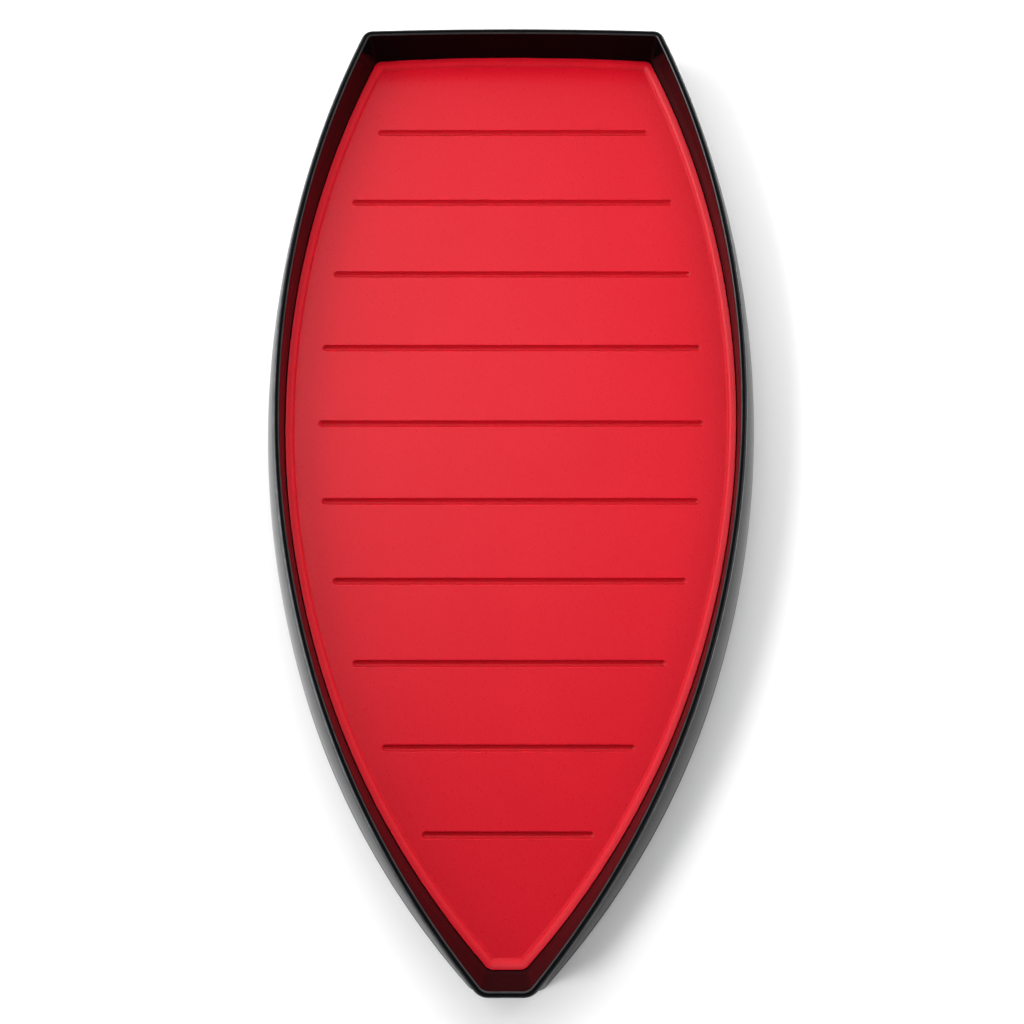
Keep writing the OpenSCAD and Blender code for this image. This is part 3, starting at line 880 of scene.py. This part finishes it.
LENS_MM = 85
SENSOR_MM = 36
CAMERA_DISTANCE = 844 * MM
CAMERA_ELEVATION = math.radians(67)
CAMERA_ASIDE = 13.6 * MM
CAMERA_AIM = Vector((0.6, -9.25, 8)) * MM
SOFTBOX_AT = Vector((0.02, 0.115, 0.40))
SOFTBOX_SIZE = (1.0, 0.4)
SOFTBOX_POWER = 2.5
WINDOW_AT = Vector((-0.22, 0.72, 1.40))
WINDOW_SIZE = (0.6, 0.55)
WINDOW_POWER = 1.18
SIDE_PANEL_AT = Vector((-1.2, 0.15, 0.75))
SIDE_PANEL_SIZE = (1.2, 1.1)
SIDE_PANEL_POWER = 6.6
FLOOR_LIGHT_AZIMUTH = math.radians(212)
FLOOR_LIGHT_ELEVATION = math.radians(42)
FLOOR_LIGHT_STRENGTH = 1.63
FLOOR_LIGHT_ANGLE = math.radians(16)
HORIZON_LIGHT = 1.0
HORIZON_RISE = math.sin(math.radians(14))
SIDE_LIGHT = 0.26
SIDE_GAIN = (-0.06, 0.20, 0)
OVERHEAD_SHARE = 0.05
OVERHEAD_FROM = math.sin(math.radians(45))
OVERHEAD_TO = math.sin(math.radians(74))
FLOOR_SIZE = 8.0
FLOOR_COLOUR = (0.95, 0.95, 0.95, 1)
FLOOR_ROUGHNESS = 0.9
FLOOR_SPECULAR = 0.1
WHITE = (1, 1, 1, 1)
# The floor's own lift to white starts and ends at these distances from the tray's middle
FLOOR_NEAR = 0.09
FLOOR_FAR = 0.8


def place_camera():
    lens = bpy.data.cameras.new("photo_camera")
    lens.lens = LENS_MM
    lens.sensor_width = SENSOR_MM
    camera = link("photo_camera", lens)
    back = Vector((0, -math.cos(CAMERA_ELEVATION), math.sin(CAMERA_ELEVATION)))
    camera.location = CAMERA_AIM + back * CAMERA_DISTANCE + Vector((CAMERA_ASIDE, 0, 0))
    camera.rotation_mode = "QUATERNION"
    camera.rotation_quaternion = (-back).to_track_quat("-Z", "Y")
    lens.shift_x = -CAMERA_ASIDE / CAMERA_DISTANCE * LENS_MM / SENSOR_MM
    bpy.context.scene.camera = camera


def place_lamp(name, kind, at, **settings):
    """A lamp that looks at the tray's middle."""
    lamp = bpy.data.lights.new(name, kind)
    for setting, value in settings.items():
        setattr(lamp, setting, value)
    placed = link(name, lamp)
    placed.location = at
    placed.rotation_mode = "QUATERNION"
    placed.rotation_quaternion = (-at).to_track_quat("-Z", "Y")
    placed.visible_camera = False
    return placed


def place_panel(name, at, sides, power):
    width, length = sides
    return place_lamp(name, "AREA", at, shape="RECTANGLE", size=width, size_y=length, energy=power)


def place_sun(name, azimuth, elevation, strength, angle):
    level = math.cos(elevation)
    towards = Vector((math.cos(azimuth) * level, math.sin(azimuth) * level, math.sin(elevation)))
    return place_lamp(name, "SUN", towards, energy=strength, angle=angle)


def place_lamps(floor):
    """A soft light close overhead that leaves no gloss, a far panel for the deck's sheen, and a panel
    on the left for the gloss of edges. A light of the floor's own gives the shadow its side."""
    softbox = place_panel("softbox", SOFTBOX_AT, SOFTBOX_SIZE, SOFTBOX_POWER)
    softbox.visible_glossy = False
    softbox.data.cycles.use_multiple_importance_sampling = False
    place_panel("window", WINDOW_AT, WINDOW_SIZE, WINDOW_POWER)
    place_panel("side_panel", SIDE_PANEL_AT, SIDE_PANEL_SIZE, SIDE_PANEL_POWER)
    floor_light = place_sun("floor_light", FLOOR_LIGHT_AZIMUTH, FLOOR_LIGHT_ELEVATION, FLOOR_LIGHT_STRENGTH,
                            FLOOR_LIGHT_ANGLE)
    floor_only = bpy.data.collections.new("floor_only")
    floor_only.objects.link(floor)
    floor_light.light_linking.receiver_collection = floor_only


def light_surroundings():
    """A room that is white round the horizon, dark overhead, and brighter to the stern and the left."""
    world = bpy.data.worlds.new("white_room")
    bpy.context.scene.world = world
    world.use_nodes = True
    tree = world.node_tree
    towards = add(tree, "ShaderNodeTexCoord").outputs["Generated"]
    up = add(tree, "ShaderNodeSeparateXYZ", {"Vector": towards}).outputs["Z"]
    sides = add(tree, "ShaderNodeVectorMath", {0: towards, 1: SIDE_GAIN}, operation="DOT_PRODUCT")
    sides = add(tree, "ShaderNodeMath", {0: sides.outputs["Value"], 1: SIDE_LIGHT}, operation="ADD")
    share = add(tree, "ShaderNodeMapRange", {"Value": up, "From Min": OVERHEAD_FROM,
                                             "From Max": OVERHEAD_TO,
                                             "To Min": 1.0, "To Max": OVERHEAD_SHARE},
                interpolation_type="SMOOTHSTEP")
    sky = add(tree, "ShaderNodeMath", {0: sides, 1: share}, operation="MULTIPLY")
    level = add(tree, "ShaderNodeMapRange", {"Value": up, "From Min": 0.0, "From Max": HORIZON_RISE,
                                             "To Min": HORIZON_LIGHT, "To Max": sky},
                interpolation_type="SMOOTHSTEP")
    background = tree.nodes["Background"]
    background.inputs["Color"].default_value = WHITE
    tree.links.new(level.outputs[0], background.inputs["Strength"])


def lay_floor():
    """A white floor, which is lifted to white far from the tray where it is seen itself."""
    half = FLOOR_SIZE / 2
    mesh = bpy.data.meshes.new("floor")
    corners = [(-half, -half, 0), (half, -half, 0), (half, half, 0), (-half, half, 0)]
    mesh.from_pydata(corners, [], [(0, 1, 2, 3)])
    material = bpy.data.materials.new("white_floor")
    material.use_nodes = True
    tree = material.node_tree
    shader = tree.nodes["Principled BSDF"]
    shader.inputs["Base Color"].default_value = FLOOR_COLOUR
    shader.inputs["Roughness"].default_value = FLOOR_ROUGHNESS
    shader.inputs["Specular IOR Level"].default_value = FLOOR_SPECULAR
    shader.inputs["Emission Color"].default_value = WHITE
    path = add(tree, "ShaderNodeLightPath").outputs
    seen = add(tree, "ShaderNodeMath", {0: path["Is Camera Ray"], 1: path["Is Glossy Ray"]},
               operation="MAXIMUM")
    seen = add(tree, "ShaderNodeMath", {0: seen, 1: path["Is Transmission Ray"]}, operation="MAXIMUM")
    place = add(tree, "ShaderNodeTexCoord").outputs["Object"]
    away = add(tree, "ShaderNodeVectorMath", {0: place}, operation="LENGTH").outputs["Value"]
    lift = add(tree, "ShaderNodeMapRange", {"Value": away, "From Min": FLOOR_NEAR, "From Max": FLOOR_FAR})
    lift = add(tree, "ShaderNodeMath", {0: seen, 1: lift}, operation="MULTIPLY")
    tree.links.new(lift.outputs[0], shader.inputs["Emission Strength"])
    mesh.materials.append(material)
    floor = link("floor", mesh)
    return floor


grain_group = moulded_grain_group()
wear_and_highlight_group = edge_wear_and_highlight_group()
hull_plastic = moulded_material("hull_plastic", grain_group, wear_and_highlight_group, HULL_LOOK)
deck_plastic = moulded_material("deck_plastic", grain_group, wear_and_highlight_group, DECK_LOOK)
pad_rubber = moulded_material("pad_rubber", grain_group, wear_and_highlight_group, PAD_LOOK)

ring_loft = ring_loft_tree()
hull = make_hull(ring_loft, hull_plastic)
deck = make_deck(ring_loft, deck_plastic)
pads = make_pads(pad_rubber)

for piece, body, slot, nodes in ((hull, "hull", "hull_plastic", ["hull_shell"]),
                                 (deck, "deck", "deck_plastic", ["deck_board"]),
                                 (pads, "hull", "pad_rubber", PADS)):
    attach(piece, body)
    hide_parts(*nodes)

place_camera()
light_surroundings()
place_lamps(lay_floor())
bpy.context.scene.view_settings.view_transform = "Standard"
